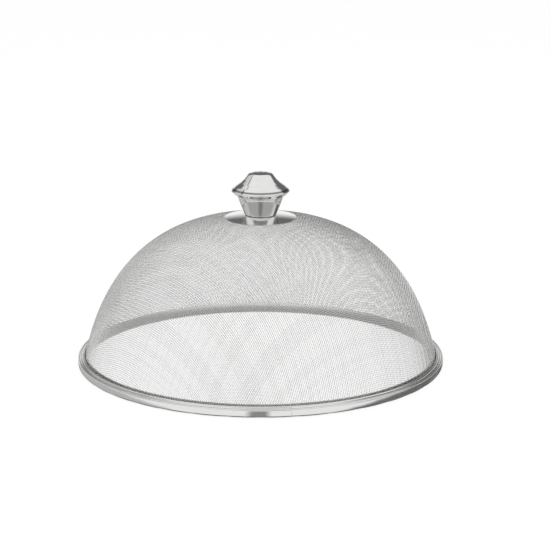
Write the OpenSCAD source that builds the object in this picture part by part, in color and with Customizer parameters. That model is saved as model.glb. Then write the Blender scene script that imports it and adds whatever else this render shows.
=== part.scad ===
// Domed food cover for a buffet table: stainless wire cloth formed into a dome, a rolled steel
// rim round its edge, and a hollow two-part knob that one screw clamps through the crown.

/* [Dome] */
// Height of the mesh crown above the table
dome_h = 122.5; // [105:0.1:140]
// Spacing of the wires, centre to centre
mesh_pitch = 1.6; // [1.5:0.05:16]
// Diameter of one mesh wire
wire_d = 0.25; // [0.2:0.05:0.6]
// Turn of the weave about the upright axis, in degrees
weave_turn = 39; // [-45:1:45]

/* [Rim] */
// Outside diameter of the rim
rim_d = 300; // [240:1:340]
// Width of the rim from its inner leg to its outer wall
rim_w = 7.6; // [7.2:0.1:9]
// Height of the rim at the crest of its lip
rim_h = 8.3; // [8.1:0.1:11]
// Height of the outer wall where it turns in to the groove
rim_wall_h = 7; // [6.6:0.1:7.2]
// Thickness of the rim strip
band_t = 0.45; // [0.35:0.05:0.5]
// Outside radius of the lip that grips the mesh
lip_r = 1.4; // [1.2:0.1:1.5]
// Outside radius of the shoulder at the top of the outer wall
shoulder_r = 1.3; // [1.1:0.1:1.4]
// Diameter of the wire hoop inside the rim
hoop_d = 4; // [2:0.1:4]

/* [Crown] */
// Diameter of the polished crown plate
crown_d = 58; // [50:1:80]
// Thickness of the crown plate
crown_t = 0.6; // [0.5:0.1:1.2]
// Diameter of the backing plate under the mesh
backing_d = 30; // [20:1:48]
// Thickness of the backing plate
backing_t = 0.8; // [0.5:0.1:1.2]
// Diameter of the clamp screw's shank
screw_d = 5; // [4:0.5:6]
// Diameter of the screw's head
screw_head_d = 9; // [8:0.5:12]
// Height of the screw's head
screw_head_h = 3; // [2:0.1:4]

/* [Knob] */
// Diameter of the knob over its rolled seam
knob_d = 47.4; // [39:0.1:56]
// Height of the knob above the crown plate
knob_h = 34.6; // [33:0.1:42]
// Diameter of the cup where it stands on the crown plate
cup_base_d = 26.2; // [22:0.2:27]
// Width of the cup's flare, from the knob's widest point in to the top of the cone
cup_flare_w = 4.9; // [4.1:0.1:6.7]
// Height of the flare above the crown plate
cup_waist_h = 13.2; // [12.6:0.1:14.2]
// Height of the rolled seam above the crown plate
seam_h = 19; // [18.6:0.1:20]
// Thickness of the knob's sheet
knob_t = 0.6; // [0.4:0.05:0.7]
// Width of the cap's brim, from the knob's widest point in to the turn of the cone
brim_w = 3; // [2.6:0.1:3.6]
// Height of that turn above the crown plate
brim_h = 22.3; // [22:0.1:23]
// Radius of the gently domed top
top_dome_r = 30; // [24:1:50]
// Diameter of the threaded insert inside the knob
insert_d = 10; // [8:0.5:12]
// Height of the threaded insert
insert_h = 9; // [6:0.5:10]

/* [Hidden] */
$fn = 72;
// Sides of a wire's section, few because there are hundreds of wires, and of a preview's full turn
wire_sides = 6;
wire_turn_sides = 48;
// Finest step of a bend in sheet, in degrees
bend_step = 9;

// Clearance between pieces that are clamped or seated together
seat_gap = 0.05;
// Clearance of the mesh in the slot of the rim, each side
slot_gap = 0.1;
// Clearance of the screw in the plates and in the mesh
screw_gap = 0.25;
// Clearance of the thread, each side
thread_gap = 0.05;
// Gap between the two ends of the rim strip where they butt together
butt_gap = 0.2;
// Place of that butt joint round the rim, in degrees
butt_at = -81;

// Rim strip: bends, tucked ends and the groove between lip and shoulder
rim_corner_r = 2;
rim_inner_corner_r = 1;
groove_r = 0.35;
// Least distance of the groove's centre from lip and shoulder, as a share of the span between them
groove_reach_share = 0.55;
lip_tuck = 0.9;
leg_rise = 0.7;
wire_end_gap = 0.3;

rim_r = rim_d / 2;
rim_in_r = rim_r - rim_w;
leg_top = rim_h + leg_rise;

// Sphere midway between the two layers of wire, through the slot of the rim and the crown
mesh_seat_r = rim_in_r + band_t + slot_gap + wire_d;
mesh_rise = dome_h - leg_top;
dome_r = (mesh_seat_r * mesh_seat_r + mesh_rise * mesh_rise) / (2 * mesh_rise);
dome_z = dome_h - dome_r;
wire_end_z = band_t + slot_gap + hoop_d + wire_end_gap;
mesh_hole_r = screw_d / 2 + screw_gap + wire_d;

// Radius of a sphere about the dome's centre, at a height above the table
function sphere_r(radius, z) = sqrt(radius * radius - (z - dome_z) * (z - dome_z));
// Height of such a sphere above the table, at a distance from the axis
function sphere_z(radius, r) = dome_z + sqrt(radius * radius - r * r);

// Clamped stack at the crown, from the backing plate up to the knob
backing_in_r = dome_r - wire_d - seat_gap - backing_t;
crown_in_r = dome_r + wire_d + seat_gap;
crown_out_r = crown_in_r + crown_t;
plate_hole_r = screw_d / 2 + screw_gap;
head_z = sphere_z(backing_in_r, screw_head_d / 2) - seat_gap;
knob_z = dome_z + crown_out_r;
insert_z = knob_z + seat_gap + knob_t + seat_gap;
screw_end_gap = 1;

// Knob sheet: bends of the cup and of the cap, whose flank is slightly hollow
cup_base_bend = 1.2;
cup_flare_bend = 4;
cap_brim_bend = 5;
cap_brim_lean = 43;
cap_hollow_bend = 27;
cap_shoulder_bend = 4.6;
// Distance of the cap's shoulder in from the knob's widest point
cap_flank_w = 16.8;
hem_length = 2;

// Heading of the straight run of sheet from one bend to the next. A bend is [centre, radius],
// and its radius is positive where the sheet turns left and negative where it turns right.
function run_heading(p, q) =
    let (d = q[0] - p[0])
    atan2(d.y, d.x) + asin(max(-1, min(1, (p[1] - q[1]) / norm(d))));

// Headings into each bend and out of the last one
function headings(bends, first, last) = [
    first,
    for (i = [0 : len(bends) - 2]) run_heading(bends[i], bends[i + 1]),
    last
];

// Turn made in a bend, to the side that its radius calls for
function turn(r, from, to) = r > 0 ? (to - from + 720) % 360 : -((from - to + 720) % 360);

// One face of the sheet, shifted to the right of its middle line
function sheet_face(bends, way, shift) = [
    for (i = [0 : len(bends) - 1])
    let (
        r = bends[i][1],
        sweep = r == 0 ? 0 : turn(r, way[i], way[i + 1]),
        steps = ceil(abs(sweep) / bend_step)
    )
    for (k = [0 : steps])
    let (a = way[i] + (steps == 0 ? 0 : sweep * k / steps) - 90)
    bends[i][0] + (r + shift) * [cos(a), sin(a)]
];

function reversed(points) = [for (i = [len(points) - 1 : -1 : 0]) points[i]];

// Section of bent sheet of one thickness; a plain end of the sheet is a bend of radius 0
module bent_sheet(bends, first, last, thickness) {
    way = headings(bends, first, last);
    right = sheet_face(bends, way, thickness / 2);
    left = sheet_face(bends, way, -thickness / 2);
    polygon(concat(right, reversed(left)));
}

// Point at distances a from p and b from q, to the left of the line from p to q
function apex(p, q, a, b) =
    let (
        d = q - p,
        along = (a * a - b * b + d * d) / (2 * norm(d)),
        up = sqrt(a * a - along * along),
        u = d / norm(d)
    )
    p + along * u + up * [-u.y, u.x];

// Disc pressed to the curve of the dome, with a hole for the screw
module dished_disc(under_r, thickness, edge_r, hole_r) {
    rotate_extrude()
    intersection() {
        translate([0, dome_z])
        difference() {
            circle(r = under_r + thickness);
            circle(r = under_r);
        }
        translate([hole_r, 0])
        square([edge_r - hole_r, knob_z]);
    }
}

// Arc of mesh wire in the upright plane x = 0 about the origin, between two angles from the top
module wire_arc(radius, from, to) {
    rotate([0, 90, 0])
    rotate_extrude(angle = to - from, start = 180 + from, $fn = wire_turn_sides)
    translate([radius, 0])
    circle(d = wire_d, $fn = wire_sides);
}

// One layer of parallel wires on a sphere: each is a circle in its own plane, one pitch along the
// sphere from the next, cut short at the rim and at the hole for the screw
module wire_layer(radius) {
    half_count = floor(acos((rim_h - dome_z) / radius) * PI / 180 * radius / mesh_pitch);
    translate([0, 0, dome_z])
    for (i = [-half_count : half_count - 1]) {
        aside = (i + 0.5) * mesh_pitch / radius * 180 / PI;
        x = radius * sin(aside);
        arc_r = radius * cos(aside);
        end = acos((wire_end_z - dome_z) / arc_r);
        if (abs(x) < mesh_hole_r) {
            start = asin(sqrt(mesh_hole_r * mesh_hole_r - x * x) / arc_r);
            for (side = [0, 180])
            rotate([0, 0, side])
            translate([side == 0 ? x : -x, 0, 0])
            wire_arc(arc_r, start, end);
        } else {
            translate([x, 0, 0])
            wire_arc(arc_r, -end, end);
        }
    }
}

// Wires of the inner layer, drawn in from front to back
module warp_wires() {
    color("silver")
    rotate([0, 0, weave_turn])
    wire_layer(dome_r - wire_d / 2);
}

// Wires of the outer layer, laid across the inner ones
module weft_wires() {
    color("gainsboro")
    rotate([0, 0, weave_turn + 90])
    wire_layer(dome_r + wire_d / 2);
}

// Steel strip rolled to a channel: lip against the mesh, groove, shoulder, outer wall, flat foot
// and an inner leg behind the mesh. Its two ends butt together at the front.
module rim_band() {
    half_t = band_t / 2;
    lip_z = rim_h - lip_r;
    lip_low_z = lip_z - lip_tuck;
    lip = [sphere_r(dome_r + wire_d, lip_low_z) + slot_gap + lip_r, lip_z];
    shoulder = [rim_r - shoulder_r, rim_wall_h - shoulder_r];
    reach = groove_reach_share * norm(shoulder - lip);
    groove = apex(lip, shoulder, max(lip_r + groove_r, reach), max(shoulder_r + groove_r, reach));
    bends = [
        [[lip.x - lip_r + half_t, lip_low_z], 0],
        [lip, half_t - lip_r],
        [groove, groove_r + half_t],
        [shoulder, half_t - shoulder_r],
        [[rim_r - rim_corner_r, rim_corner_r], half_t - rim_corner_r],
        [[rim_in_r + rim_inner_corner_r, rim_inner_corner_r], half_t - rim_inner_corner_r],
        [[rim_in_r + half_t, leg_top], 0]
    ];
    butt_angle = butt_gap / rim_r * 180 / PI;
    color("lightgray")
    rotate_extrude(angle = 360 - butt_angle, start = butt_at + butt_angle / 2)
    bent_sheet(bends, 90, 90, band_t);
}

// Round wire hoop that stiffens the rim, lying in the corner of the channel
module rim_hoop() {
    hoop_r = hoop_d / 2;
    inset = band_t + slot_gap + hoop_r;
    color("darkgray")
    rotate_extrude()
    translate([rim_r - inset, inset])
    circle(r = hoop_r);
}

// Polished plate on top of the mesh, under the knob
module crown_plate() {
    color("whitesmoke")
    dished_disc(crown_in_r, crown_t, crown_d / 2, plate_hole_r);
}

// Plate under the mesh, which the screw pulls up against it
module backing_plate() {
    color("lightgray")
    dished_disc(backing_in_r, backing_t, backing_d / 2, plate_hole_r);
}

// Middle of the rolled seam where cup and cap meet, and the radius of the cap's hem about it
hem_r = knob_t + seat_gap;
seam = [knob_d / 2 - hem_r - knob_t / 2, knob_z + seam_h];
flare = [
    [knob_d / 2 - cup_flare_w + cup_flare_bend, knob_z + cup_waist_h],
    -(cup_flare_bend + knob_t / 2)
];

// Spun cup: dished floor on the crown plate, cone, and a flared edge that runs into the seam
module knob_cup() {
    floor_r = crown_out_r + seat_gap + knob_t / 2;
    base_bend = cup_base_bend - knob_t / 2;
    base_x = cup_base_d / 2 - cup_base_bend;
    bends = [
        [[0, dome_z], -floor_r],
        [[base_x, sphere_z(floor_r + base_bend, base_x)], base_bend],
        flare,
        [seam, 0]
    ];
    color("lightgray")
    rotate_extrude()
    bent_sheet(bends, -asin(plate_hole_r / floor_r), run_heading(flare, [seam, 0]), knob_t);
}

// Spun cap: hem rolled round the edge of the cup, brim, cone, soft shoulder and domed top
module knob_cap() {
    hem_way = run_heading(flare, [seam, 0]);
    hem_start = seam + hem_r * [cos(hem_way - 90), sin(hem_way - 90)]
        - hem_length * [cos(hem_way), sin(hem_way)];
    brim = [knob_d / 2 - brim_w, knob_z + brim_h]
        - cap_brim_bend * [cos(cap_brim_lean), sin(cap_brim_lean)];
    top_z = knob_z + knob_h - top_dome_r;
    reach = top_dome_r - cap_shoulder_bend;
    turn_r = knob_d / 2 - cap_flank_w;
    shoulder = [turn_r, top_z + sqrt(reach * reach - turn_r * turn_r)];
    hollow = apex(shoulder, brim, cap_hollow_bend + cap_shoulder_bend, cap_hollow_bend + cap_brim_bend);
    bends = [
        [hem_start, 0],
        [seam, hem_r],
        [brim, cap_brim_bend - knob_t / 2],
        [hollow, -(cap_hollow_bend + knob_t / 2)],
        [shoulder, cap_shoulder_bend - knob_t / 2],
        [[0, top_z], top_dome_r - knob_t / 2]
    ];
    color("whitesmoke")
    rotate_extrude()
    bent_sheet(bends, hem_way, 180, knob_t);
}

// Threaded insert fixed to the floor of the cup
module knob_insert() {
    bore_r = screw_d / 2 + thread_gap;
    color("darkgray")
    translate([0, 0, insert_z])
    rotate_extrude()
    translate([bore_r, 0])
    square([insert_d / 2 - bore_r, insert_h]);
}

// Pan-head screw from inside the dome up into the insert
module clamp_screw() {
    shank_h = insert_z + insert_h - screw_end_gap - head_z;
    color("gray")
    translate([0, 0, head_z]) {
        cylinder(d = screw_d, h = shank_h);
        translate([0, 0, -screw_head_h])
        cylinder(d = screw_head_d, h = screw_head_h);
    }
}

warp_wires();
weft_wires();
rim_band();
rim_hoop();
crown_plate();
backing_plate();
knob_cup();
knob_cap();
knob_insert();
clamp_screw();
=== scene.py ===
"""Domed wire food cover with a rolled steel rim and a two-part knob, in a plain white studio."""

import math

import bpy
import numpy as np
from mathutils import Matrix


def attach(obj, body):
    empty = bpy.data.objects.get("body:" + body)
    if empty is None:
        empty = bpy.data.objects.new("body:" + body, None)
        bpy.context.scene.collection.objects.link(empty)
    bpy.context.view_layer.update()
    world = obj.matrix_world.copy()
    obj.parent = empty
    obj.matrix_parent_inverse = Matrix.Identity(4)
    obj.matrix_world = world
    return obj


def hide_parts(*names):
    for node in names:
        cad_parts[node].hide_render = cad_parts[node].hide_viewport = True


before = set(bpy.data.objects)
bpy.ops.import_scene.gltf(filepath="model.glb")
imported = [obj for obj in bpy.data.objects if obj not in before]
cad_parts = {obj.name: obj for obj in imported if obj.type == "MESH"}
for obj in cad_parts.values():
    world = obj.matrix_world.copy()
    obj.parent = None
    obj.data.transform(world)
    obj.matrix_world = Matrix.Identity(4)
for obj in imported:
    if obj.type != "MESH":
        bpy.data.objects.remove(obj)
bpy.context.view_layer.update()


# Mesh dome
# Plain-woven stainless wire cloth, 16 wires to the inch, pressed to a dome in one piece. Each warp and weft
# wire goes over one wire and under the next. The rim grips the edge, and two plates clamp the crown.
MM = 0.001
mesh_pitch = 25.4 / 16 * MM
wire_r = 0.16 * MM
weave_turn = math.radians(39)
crown_z = 122.5 * MM
seat_r, seat_z = 143.2 * MM, 9.0 * MM
mesh_end_z = 5.2 * MM
screw_hole_r = 3.2 * MM
pieces_per_layer = 5

# The sphere that both plates are dished to runs through the crown and the slot of the rim
sphere_rise = crown_z - seat_z
sphere_r = (seat_r**2 + sphere_rise**2) / (2 * sphere_rise)
sphere_z = crown_z - sphere_r

# Away from the plates the pressed cloth stands fuller, as a superellipse about a low centre
full_r, full_h, full_z, full_power = 151.1 * MM, 199.2 * MM, -79.1 * MM, 2.54
blend_height = 0.6 * MM


def mesh_height(r):
    """Height of the cloth's middle surface at a distance from the axis."""
    sphere = sphere_z + np.sqrt(np.maximum(sphere_r**2 - r**2, 0))
    full = full_z + full_h * np.maximum(1 - (r / full_r) ** full_power, 0) ** (1 / full_power)
    return (sphere + full + np.hypot(sphere - full, blend_height)) / 2


def mesh_lean(spots):
    """Rise of that surface along x and y at some spots."""
    least_r, step = 0.01 * MM, 0.005 * MM
    r = np.maximum(np.hypot(spots[:, 0], spots[:, 1]), least_r)
    slope = (mesh_height(r + step) - mesh_height(r - step)) / (2 * step)
    return spots[:, :2] * (slope / r)[:, None]


# Pressing shears the cloth and leaves its wires their length, so each crossing lies one pitch from the
# crossing before it on both of its wires. A quarter of the cloth is laid out from the two wires through
# the crown, and the other three quarters mirror it.
curve_end, curve_points = 0.985, 6000
solving_rounds = 8
curve_r = np.linspace(0, full_r * curve_end, curve_points)
curve_z = mesh_height(curve_r)
curve_length = np.concatenate([[0], np.cumsum(np.hypot(np.diff(curve_r), np.diff(curve_z)))])
edge_r = float(np.interp(-mesh_end_z, -curve_z, curve_r))
wire_count = int(np.interp(edge_r, curve_r, curve_length) / mesh_pitch) + 1
straight_r = np.interp(np.arange(wire_count) * mesh_pitch, curve_length, curve_r)
crossing = np.full((wire_count, wire_count, 3), np.nan)
crossing[:, 0] = np.stack([straight_r, 0 * straight_r, mesh_height(straight_r)], 1)
crossing[0, :] = crossing[:, 0][:, [1, 0, 2]]
for diagonal in range(2, 2 * wire_count - 1):
    i = np.arange(max(1, diagonal - wire_count + 1), min(diagonal, wire_count))
    j = diagonal - i
    laid = np.isfinite(crossing[i - 1, j, 0] + crossing[i, j - 1, 0])
    i, j = i[laid], j[laid]
    before = [crossing[i - 1, j], crossing[i, j - 1]]
    spots = (before[0] + before[1] - crossing[i - 1, j - 1])[:, :2]
    for _ in range(solving_rounds):
        place = np.column_stack([spots, mesh_height(np.hypot(spots[:, 0], spots[:, 1]))])
        lean = mesh_lean(spots)
        miss = np.stack([((place - p) ** 2).sum(1) - mesh_pitch**2 for p in before], 1)
        rates = np.stack([2 * (place - p)[:, :2] + 2 * (place - p)[:, 2:] * lean for p in before], 1)
        spots = spots - np.linalg.solve(rates, miss[:, :, None])[:, :, 0]
    place = np.column_stack([spots, mesh_height(np.hypot(spots[:, 0], spots[:, 1]))])
    place[place[:, 2] < mesh_end_z] = np.nan
    crossing[i, j] = place


def with_middles(line):
    """The same line with a point between every two crossings, where the wire is steepest."""
    full = np.repeat(line, 2, axis=0)[:-1]
    full[1::2] = (line[:-1] + line[1:]) / 2
    return full


def wire_lines(number, layer):
    """Middle lines of one wire: its crossings, lifted over or under the wires that it meets."""
    there = np.arange(1 - wire_count, wire_count)
    both = [np.full_like(there, number), there]
    warp, weft = both if layer == "warp" else both[::-1]
    quarter = np.stack([np.sign(warp), np.sign(weft), np.ones_like(warp)], 1)
    line = crossing[np.abs(warp), np.abs(weft)] * quarter
    side = (1 if layer == "warp" else -1) * (1 - 2 * ((warp + weft) % 2))
    inside = np.isfinite(line[:, 0])
    line, side, there = line[inside], side[inside], there[inside]
    up = np.column_stack([-mesh_lean(line), np.ones(len(line))])
    line = line + up * (side * wire_r / np.linalg.norm(up, axis=1))[:, None]
    turn_cos, turn_sin = math.cos(weave_turn), math.sin(weave_turn)
    line[:, :2] = line[:, :2] @ np.array([[turn_cos, turn_sin], [-turn_sin, turn_cos]])
    clear = np.hypot(line[:, 0], line[:, 1]) > screw_hole_r
    lines = [line] if clear.all() else [line[clear & (there < 0)], line[clear & (there > 0)]]
    return [with_middles(line) for line in lines if len(line) > 2]


def woven_wires(name, lines):
    """Wires as curves with a square bevel, made one mesh, with a strip of the bake's map for each wire."""
    cloth = bpy.data.curves.new(name, "CURVE")
    cloth.dimensions = "3D"
    cloth.bevel_depth = wire_r
    cloth.bevel_resolution = 0
    cloth.use_fill_caps = True
    for line in lines:
        wire = cloth.splines.new("POLY")
        wire.points.add(len(line) - 1)
        wire.points.foreach_set("co", np.column_stack([line, np.ones(len(line))]).ravel())
    piece = bpy.data.objects.new(name, cloth)
    bpy.context.collection.objects.link(piece)
    bpy.ops.object.select_all(action="DESELECT")
    piece.select_set(True)
    bpy.context.view_layer.objects.active = piece
    bpy.ops.object.convert(target="MESH")
    piece = bpy.context.object

    # Blender gives the two ends of each wire first, from the last wire back, and then the sides
    end_faces, wire_sides = 4, 4
    strip_margin = 0.1
    weld_gap = 0.001 * MM
    mesh = piece.data
    rows = np.arange(len(lines))
    end_rows = np.repeat(rows[::-1], end_faces)
    side_rows = np.repeat(rows, [wire_sides * (len(line) - 1) for line in lines])
    face_row = np.concatenate([end_rows, side_rows])
    corners = np.empty(len(mesh.polygons), np.int32)
    mesh.polygons.foreach_get("loop_total", corners)
    places = np.empty(2 * len(mesh.loops))
    mesh.uv_layers[0].data.foreach_get("uv", places)
    across = strip_margin + (1 - 2 * strip_margin) * places[1::2]
    places[1::2] = (np.repeat(face_row, corners) + across) / len(lines)
    mesh.uv_layers[0].data.foreach_set("uv", places)
    mesh.uv_layers[0].name = "OFBake"
    bpy.ops.object.mode_set(mode="EDIT")
    bpy.ops.mesh.select_all(action="SELECT")
    bpy.ops.mesh.remove_doubles(threshold=weld_gap)
    bpy.ops.object.mode_set(mode="OBJECT")
    return piece


def linear(hex_colour):
    """An sRGB hex colour as linear RGBA."""
    parts = [int(hex_colour[i : i + 2], 16) / 255 for i in (1, 3, 5)]
    return [c / 12.92 if c <= 0.04045 else ((c + 0.055) / 1.055) ** 2.4 for c in parts] + [1.0]


def add_node(owner, kind, links=(), inputs=(), **settings):
    """Adds a node to a material or world, with its settings, its input values and links to its inputs."""
    node = owner.node_tree.nodes.new(kind)
    for key, value in settings.items():
        setattr(node, key, value)
    for key, value in inputs:
        node.inputs[key].default_value = value
    for key, source, output in links:
        owner.node_tree.links.new(source.outputs[output], node.inputs[key])
    return node


# Bright drawn stainless wire: smooth from the die, and a little darker in patches where the cloth was washed.
# The warp is painted darker than the weft: painted shade on the warp and a painted sheen on the weft. This is
# a guess, made to bring out the fine stripes that the light draws on the weave.
wire_tones = {"warp": ("#c2c2c1", "#d2d2d1"), "weft": ("#ececeb", "#f6f6f5")}
washed_patch = 9 * MM

for layer, (dull, bright) in wire_tones.items():
    drawn_wire = bpy.data.materials.new(f"stainless_wire_drawn_{layer}")
    drawn_wire.use_nodes = True
    drawn_wire.node_tree.nodes.clear()
    place = add_node(drawn_wire, "ShaderNodeTexCoord")
    patches = add_node(
        drawn_wire,
        "ShaderNodeTexNoise",
        [("Vector", place, "Object")],
        [("Scale", 1 / washed_patch), ("Detail", 2.0)],
    )
    tone = add_node(
        drawn_wire,
        "ShaderNodeMix",
        [("Factor", patches, "Fac")],
        [("A", linear(dull)), ("B", linear(bright))],
        data_type="RGBA",
    )
    steel = add_node(
        drawn_wire,
        "ShaderNodeBsdfPrincipled",
        [("Base Color", tone, "Result")],
        [("Metallic", 1.0), ("Roughness", 0.12)],
    )
    add_node(drawn_wire, "ShaderNodeOutputMaterial", [("Surface", steel, "BSDF")])
    lines = [line for number in range(1 - wire_count, wire_count) for line in wire_lines(number, layer)]
    points_so_far = np.cumsum([len(line) for line in lines])
    piece_of = (points_so_far - 1) * pieces_per_layer // points_so_far[-1]
    for k in range(pieces_per_layer):
        piece = woven_wires(f"{layer}_wires_{k + 1}", [line for line, p in zip(lines, piece_of) if p == k])
        piece.data.materials.append(drawn_wire)
        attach(piece, "root")
        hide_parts(f"{layer}_wires")


# Rim
# One strip of stainless steel rolled to a channel round the mesh and a wire hoop, with its ends butted at
# the front. Rolling leaves it bright, with faint lines along the strip.
rolled_strip = bpy.data.materials.new("stainless_strip_rolled")
rolled_strip.use_nodes = True
rolled_strip.node_tree.nodes.clear()


def round_place(material, across, along):
    """Coordinates on a turned piece: radius and height over one pattern size, angle over another."""
    place = add_node(material, "ShaderNodeTexCoord")
    split = add_node(material, "ShaderNodeSeparateXYZ", [("Vector", place, "Object")])
    flat = add_node(material, "ShaderNodeCombineXYZ", [("X", split, "X"), ("Y", split, "Y")])
    radius = add_node(material, "ShaderNodeVectorMath", [(0, flat, "Vector")], operation="LENGTH")
    way = add_node(material, "ShaderNodeVectorMath", [(0, flat, "Vector")], operation="NORMALIZE")
    way_split = add_node(material, "ShaderNodeSeparateXYZ", [("Vector", way, "Vector")])
    height = add_node(material, "ShaderNodeMath", [(0, radius, "Value"), (1, split, "Z")], operation="ADD")
    near = add_node(
        material, "ShaderNodeMath", [(0, height, "Value")], [(1, 1 / across)], operation="MULTIPLY"
    )
    turn_x = add_node(material, "ShaderNodeMath", [(0, way_split, "X")], [(1, along)], operation="MULTIPLY")
    turn_y = add_node(material, "ShaderNodeMath", [(0, way_split, "Y")], [(1, along)], operation="MULTIPLY")
    return add_node(
        material,
        "ShaderNodeCombineXYZ",
        [("X", near, "Value"), ("Y", turn_x, "Value"), ("Z", turn_y, "Value")],
    )


# Rolling lines of about 0.3 mm, drawn at 0.6 mm so that they show, each a few centimetres long
rolling_line, rolling_depth, rolling_runs = 0.6 * MM, 0.01 * MM, 5
lines_place = round_place(rolled_strip, rolling_line, rolling_runs)
lines = add_node(
    rolled_strip, "ShaderNodeTexNoise", [("Vector", lines_place, "Vector")], [("Scale", 1.0), ("Detail", 3.0)]
)
tone = add_node(
    rolled_strip,
    "ShaderNodeMix",
    [("Factor", lines, "Fac")],
    [("A", linear("#dadad9")), ("B", linear("#eeeeed"))],
    data_type="RGBA",
)
gloss = add_node(
    rolled_strip, "ShaderNodeMapRange", [("Value", lines, "Fac")], [("To Min", 0.12), ("To Max", 0.26)]
)
relief = add_node(
    rolled_strip,
    "ShaderNodeBump",
    [("Height", lines, "Fac")],
    [("Strength", 0.25), ("Distance", rolling_depth)],
)
steel = add_node(
    rolled_strip,
    "ShaderNodeBsdfPrincipled",
    [("Base Color", tone, "Result"), ("Roughness", gloss, "Result"), ("Normal", relief, "Normal")],
    [("Metallic", 1.0)],
)
add_node(rolled_strip, "ShaderNodeOutputMaterial", [("Surface", steel, "BSDF")])
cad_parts["rim_band"].data.materials[0] = rolled_strip


# Crown plate
# Disc of stainless sheet pressed to the curve of the dome and buffed to a mirror on a turning mop, which
# leaves faint rings. It lies on the mesh under the knob, and the screw passes through its middle.
buffed_sheet = bpy.data.materials.new("stainless_sheet_buffed")
buffed_sheet.use_nodes = True
buffed_sheet.node_tree.nodes.clear()

# Rings of about 0.1 mm from the mop, drawn at 0.8 mm so that they show
mop_ring, mop_runs = 0.8 * MM, 3
rings_place = round_place(buffed_sheet, mop_ring, mop_runs)
rings = add_node(
    buffed_sheet, "ShaderNodeTexNoise", [("Vector", rings_place, "Vector")], [("Scale", 1.0), ("Detail", 2.0)]
)
tone = add_node(
    buffed_sheet,
    "ShaderNodeMix",
    [("Factor", rings, "Fac")],
    [("A", linear("#e2e2e1")), ("B", linear("#eeeeed"))],
    data_type="RGBA",
)
gloss = add_node(
    buffed_sheet, "ShaderNodeMapRange", [("Value", rings, "Fac")], [("To Min", 0.05), ("To Max", 0.12)]
)
steel = add_node(
    buffed_sheet,
    "ShaderNodeBsdfPrincipled",
    [("Base Color", tone, "Result"), ("Roughness", gloss, "Result")],
    [("Metallic", 1.0)],
)
add_node(buffed_sheet, "ShaderNodeOutputMaterial", [("Surface", steel, "BSDF")])
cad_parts["crown_plate"].data.materials[0] = buffed_sheet


# Knob
# Hollow knob of two spun stainless shells: the cap's hem is rolled over the flared edge of the cup. Spinning
# and polishing on the lathe leave fine rings round the axis, which the eye sees as a slight grain.
spun_sheet = bpy.data.materials.new("stainless_sheet_spun")
spun_sheet.use_nodes = True
spun_sheet.node_tree.nodes.clear()

# Rings of about 0.1 mm from the lathe, drawn at 0.5 mm so that they show
lathe_ring, lathe_depth, lathe_runs = 0.5 * MM, 0.01 * MM, 2
rings_place = round_place(spun_sheet, lathe_ring, lathe_runs)
rings = add_node(
    spun_sheet, "ShaderNodeTexNoise", [("Vector", rings_place, "Vector")], [("Scale", 1.0), ("Detail", 2.0)]
)
polished_tone = add_node(
    spun_sheet,
    "ShaderNodeMix",
    [("Factor", rings, "Fac")],
    [("A", linear("#dcdcdb")), ("B", linear("#eaeae9"))],
    data_type="RGBA",
)

# The real brim shows a dark line, a reflection that the brim of this cap doesn't catch. A painted reflection,
# a ring of dark tone round the brim, stands in for it.
brim_line_z, brim_line_core, brim_line_fade = 144.2 * MM, 0.3 * MM, 0.9 * MM
place = add_node(spun_sheet, "ShaderNodeTexCoord")
split = add_node(spun_sheet, "ShaderNodeSeparateXYZ", [("Vector", place, "Object")])
above = add_node(spun_sheet, "ShaderNodeMath", [(0, split, "Z")], [(1, brim_line_z)], operation="SUBTRACT")
apart = add_node(spun_sheet, "ShaderNodeMath", [(0, above, "Value")], operation="ABSOLUTE")
brim_line = add_node(
    spun_sheet,
    "ShaderNodeMapRange",
    [("Value", apart, "Value")],
    [("From Min", brim_line_core), ("From Max", brim_line_fade), ("To Min", 1.0), ("To Max", 0.0)],
)
tone = add_node(
    spun_sheet,
    "ShaderNodeMix",
    [("Factor", brim_line, "Result"), ("A", polished_tone, "Result")],
    [("B", linear("#7c7c7b"))],
    data_type="RGBA",
)
gloss = add_node(
    spun_sheet, "ShaderNodeMapRange", [("Value", rings, "Fac")], [("To Min", 0.05), ("To Max", 0.12)]
)
relief = add_node(
    spun_sheet, "ShaderNodeBump", [("Height", rings, "Fac")], [("Strength", 0.15), ("Distance", lathe_depth)]
)
steel = add_node(
    spun_sheet,
    "ShaderNodeBsdfPrincipled",
    [("Base Color", tone, "Result"), ("Roughness", gloss, "Result"), ("Normal", relief, "Normal")],
    [("Metallic", 1.0)],
)
add_node(spun_sheet, "ShaderNodeOutputMaterial", [("Surface", steel, "BSDF")])
for name in ("knob_cup", "knob_cap"):
    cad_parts[name].data.materials[0] = spun_sheet


# Hidden steel
# The hoop in the rim, the plate under the mesh, the knob's insert and the screw are plain stainless steel,
# left as drawn, stamped or turned, with the dull patches of pickling.
pickled_steel = bpy.data.materials.new("stainless_steel_pickled")
pickled_steel.use_nodes = True
pickled_steel.node_tree.nodes.clear()
pickled_patch = 4 * MM
place = add_node(pickled_steel, "ShaderNodeTexCoord")
patches = add_node(
    pickled_steel,
    "ShaderNodeTexNoise",
    [("Vector", place, "Object")],
    [("Scale", 1 / pickled_patch), ("Detail", 4.0)],
)
tone = add_node(
    pickled_steel,
    "ShaderNodeMix",
    [("Factor", patches, "Fac")],
    [("A", linear("#b2b2b0")), ("B", linear("#cacac8"))],
    data_type="RGBA",
)
gloss = add_node(
    pickled_steel, "ShaderNodeMapRange", [("Value", patches, "Fac")], [("To Min", 0.25), ("To Max", 0.45)]
)
steel = add_node(
    pickled_steel,
    "ShaderNodeBsdfPrincipled",
    [("Base Color", tone, "Result"), ("Roughness", gloss, "Result")],
    [("Metallic", 1.0)],
)
add_node(pickled_steel, "ShaderNodeOutputMaterial", [("Surface", steel, "BSDF")])
for name in ("rim_hoop", "backing_plate", "knob_insert", "clamp_screw"):
    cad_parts[name].data.materials[0] = pickled_steel


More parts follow.
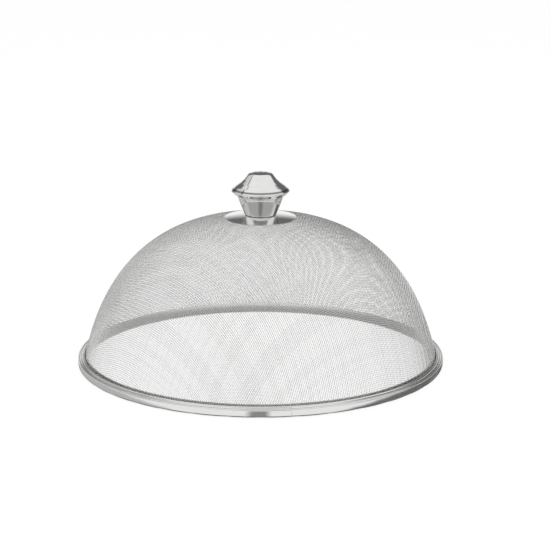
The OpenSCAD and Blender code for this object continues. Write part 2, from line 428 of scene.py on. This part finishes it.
# Studio floor
# White paper under the cover. Rays from the camera, off metal and through gaps see most of it as plain
# white, and the rest is matt paper, which keeps the cover's shadow.
floor_size = 8.0
floor_glow = 0.9
bpy.ops.object.select_all(action="DESELECT")
bpy.ops.mesh.primitive_plane_add(size=floor_size)
floor = bpy.context.object
floor.name = "studio_floor"
paper = bpy.data.materials.new("white_paper")
paper.use_nodes = True
paper.node_tree.nodes.clear()


def shows_white(owner):
    """1 for rays that see the background: from the camera, off metal and through gaps."""
    path = add_node(owner, "ShaderNodeLightPath")
    direct = add_node(
        owner, "ShaderNodeMath", [(0, path, "Is Camera Ray"), (1, path, "Is Glossy Ray")], operation="MAXIMUM"
    )
    return add_node(
        owner,
        "ShaderNodeMath",
        [(0, direct, "Value"), (1, path, "Is Transmission Ray")],
        operation="MAXIMUM",
    )


seen = shows_white(paper)
glow = add_node(paper, "ShaderNodeMath", [(0, seen, "Value")], [(1, floor_glow)], operation="MULTIPLY")
matt = add_node(paper, "ShaderNodeBsdfDiffuse", (), [("Color", linear("#f6f6f6"))])
white = add_node(paper, "ShaderNodeEmission", (), [("Color", (1, 1, 1, 1)), ("Strength", 1.0)])
both = add_node(paper, "ShaderNodeMixShader", [(0, glow, "Value"), (1, matt, "BSDF"), (2, white, "Emission")])
add_node(paper, "ShaderNodeOutputMaterial", [("Surface", both, "Shader")])
floor.data.materials.append(paper)


# Studio cards
# Sheets of grey card round the cover and on the floor, which only the polished steel mirrors, as its dark and
# grey bands. Some of those on the floor are painted shadow.
# Their edges fade, as the edges of things in a room do in curved steel.
card_tones = {"dark_card": "#6e6e6e", "mid_card": "#949494", "soft_card": "#c2c2c2", "pale_card": "#dcdcdc"}
fade_shares = (0, 0.25, 0.75, 1)
floor_card_z = 0.3 * MM
station_step = 10
cards = {}
for name, colour in card_tones.items():
    cards[name] = bpy.data.materials.new(name)
    cards[name].use_nodes = True
    cards[name].node_tree.nodes.clear()
    cover = add_node(cards[name], "ShaderNodeAttribute", attribute_name="cover")
    clear = add_node(cards[name], "ShaderNodeBsdfTransparent")
    board = add_node(cards[name], "ShaderNodeEmission", (), [("Color", linear(colour)), ("Strength", 1.0)])
    faded = add_node(
        cards[name], "ShaderNodeMixShader", [(0, cover, "Fac"), (1, clear, "BSDF"), (2, board, "Emission")]
    )
    add_node(cards[name], "ShaderNodeOutputMaterial", [("Surface", faded, "Shader")])


def set_card(name, card, first_edge, second_edge, cover_across):
    """A card between two edges, clear at its two ends, with its cover given from the first edge across."""
    first, second = np.array(first_edge), np.array(second_edge)
    count = len(first)
    places = np.concatenate([first + (second - first) * share for share in fade_shares])
    faces = [
        (row + k, row + k + 1, row + count + k + 1, row + count + k)
        for row in (0, count, 2 * count)
        for k in range(count - 1)
    ]
    mesh = bpy.data.meshes.new(name)
    mesh.from_pydata(places.tolist(), [], faces)
    cover = np.outer(cover_across, [0] + [1] * (count - 2) + [0]).ravel()
    mesh.attributes.new("cover", "FLOAT", "POINT").data.foreach_set("value", cover)
    mesh.materials.append(cards[card])
    piece = bpy.data.objects.new(name, mesh)
    bpy.context.collection.objects.link(piece)
    piece.visible_camera = False
    piece.visible_shadow = False
    piece.visible_diffuse = False


def hang_card(name, card, distance, *stations):
    """A card in the air: each station is an azimuth from straight back to the right, and two elevations."""
    edges = ([], [])
    for azimuth, *elevations in stations:
        for edge, elevation in zip(edges, elevations):
            out = distance * math.cos(math.radians(elevation))
            edge.append(
                (
                    out * math.sin(math.radians(azimuth)),
                    out * math.cos(math.radians(azimuth)),
                    distance * math.sin(math.radians(elevation)),
                )
            )
    set_card(name, card, *edges, (0, 1, 1, 0))


def lay_card(name, card, *stations):
    """A card on the floor: each station is an azimuth as above, and two distances from the axis in mm."""
    edges = ([], [])
    for azimuth, *radii in stations:
        for edge, radius in zip(edges, radii):
            edge.append(
                (
                    radius * MM * math.sin(math.radians(azimuth)),
                    radius * MM * math.cos(math.radians(azimuth)),
                    floor_card_z,
                )
            )
    set_card(name, card, *edges, (1, 1, 1, 0))


def crescent(first_azimuth, last_azimuth, reach):
    """Stations of a floor card along the rim, which is widest at the side."""
    near = 150.5
    return [
        (azimuth, near, near + reach * math.sin(math.radians(azimuth)) ** 2)
        for azimuth in range(first_azimuth, last_azimuth + 1, station_step)
    ]


def ring(first_azimuth, last_azimuth, *radii):
    """Stations of a floor card of even width along the rim."""
    return [(azimuth, *radii) for azimuth in range(first_azimuth, last_azimuth + 1, station_step)]


# Behind and to the right: the dark half of the plate and the dark bands down both sides of the cap
hang_card(
    "card_back", "dark_card", 2.4,
    (-47, 8, 48), (-36, 6, 50), (-24, 6, 57), (-9, 9, 68), (-4, 12.5, 70), (4, 12, 70),
    (9, 8, 69), (24, 3, 60), (40, -1, 54), (50, -3, 50), (60, -4, 42), (76, -4, 30),
)
hang_card(
    "card_right", "dark_card", 2.2,
    (56, -4, 22), (74, -4, 26), (92, -2, 26), (112, 0, 25), (134, 2, 22),
)

# To the left: the grey side of the mesh, the pale field on the cap and the thin dark line beside it
hang_card(
    "card_left_low", "mid_card", 2.2,
    (-26, -2, 16), (-44, -2, 20), (-80, 0, 24), (-104, 2, 26), (-132, 4, 26),
)
hang_card(
    "card_left", "pale_card", 2.5,
    (-34, 12, 52), (-42, 11, 54), (-62, 12, 53), (-76, 14, 48), (-90, 16, 44),
)
hang_card(
    "card_left_gap", "dark_card", 2.1,
    (-40, 57.5, 63.5), (-54, 52.5, 59), (-68, 47.5, 54), (-83, 41.5, 48), (-100, 35, 41),
)

# In front: the grey of the cup and the darker streak down its middle
hang_card(
    "card_front", "soft_card", 2.8,
    (76, 20, 38), (100, 22, 44), (124, 25, 51), (150, 26, 56), (180, 26, 58),
    (210, 26, 56), (236, 25, 51), (260, 22, 44), (284, 20, 38),
)
hang_card(
    "card_front_stand", "mid_card", 2.7,
    (160, 16, 56), (173, 16, 56), (187, 16, 56), (200, 16, 56),
)

# On the floor: the bands of the rim and the patch at its front, and sheets of painted shadow where the cover
# shades the floor, which the rim mirrors as its dark lower edge, its dark right end and the dark inner face
# at its back.
lay_card(
    "card_floor_far", "mid_card",
    (120, 330, 700), (140, 330, 900), (180, 330, 900), (220, 330, 900), (240, 330, 700),
)
# Painted shadow: a dark sheet where the cover's shadow falls on the floor to its right
lay_card("card_floor_right_shadow", "dark_card", *crescent(20, 160, 28))
lay_card("card_floor_left", "soft_card", *crescent(200, 340, 24))
# Painted shade: a grey sheet on the floor under the back of the dome
lay_card("card_floor_inside_shade", "mid_card", *ring(-90, 90, 141.5, 116))
# Painted contact shadow: a dark ring on the floor round the foot of the rim's front half
lay_card("card_floor_contact_shadow", "dark_card", *ring(90, 270, 150.2, 153.2))
lay_card(
    "card_floor_front", "mid_card",
    (176.5, 151, 195), (178.5, 151, 195), (182.5, 151, 195), (185, 151, 195),
)


# Light and camera
# A white room, one large soft lamp overhead, and the camera where the photograph's stood. The steel mirrors
# the room and not the lamp.
room_light = 0.95
world = bpy.data.worlds.new("white_studio")
world.use_nodes = True
world.node_tree.nodes.clear()
seen = shows_white(world)
strength = add_node(
    world, "ShaderNodeMapRange", [("Value", seen, "Value")], [("To Min", room_light), ("To Max", 1.0)]
)
room = add_node(world, "ShaderNodeBackground", [("Strength", strength, "Result")], [("Color", (1, 1, 1, 1))])
add_node(world, "ShaderNodeOutputWorld", [("Surface", room, "Background")])
bpy.context.scene.world = world

lamp_height = 1.8
lamp = bpy.data.lights.new("overhead_softbox", "AREA")
lamp.size = 1.6
lamp.energy = 12
overhead = bpy.data.objects.new("overhead_softbox", lamp)
overhead.location = (0, 0, lamp_height)
overhead.visible_glossy = False
bpy.context.collection.objects.link(overhead)

camera_distance = 1.536
camera_elevation = math.radians(17.26)
photo_width = 550
focal_pixels = 1857
base_x, base_y = 260.5, 359.5
lens = bpy.data.cameras.new("camera")
lens.sensor_width = 36
lens.lens = lens.sensor_width * focal_pixels / photo_width
lens.shift_x = (photo_width / 2 - base_x) / photo_width
lens.shift_y = (base_y - photo_width / 2) / photo_width
lens.clip_start = 0.01
camera = bpy.data.objects.new("camera", lens)
camera_back = camera_distance * math.cos(camera_elevation)
camera_height = camera_distance * math.sin(camera_elevation)
camera.location = (0, -camera_back, camera_height)
camera.rotation_euler = (math.pi / 2 - camera_elevation, 0, 0)
bpy.context.collection.objects.link(camera)
bpy.context.scene.camera = camera
bpy.context.scene.view_settings.view_transform = "Standard"
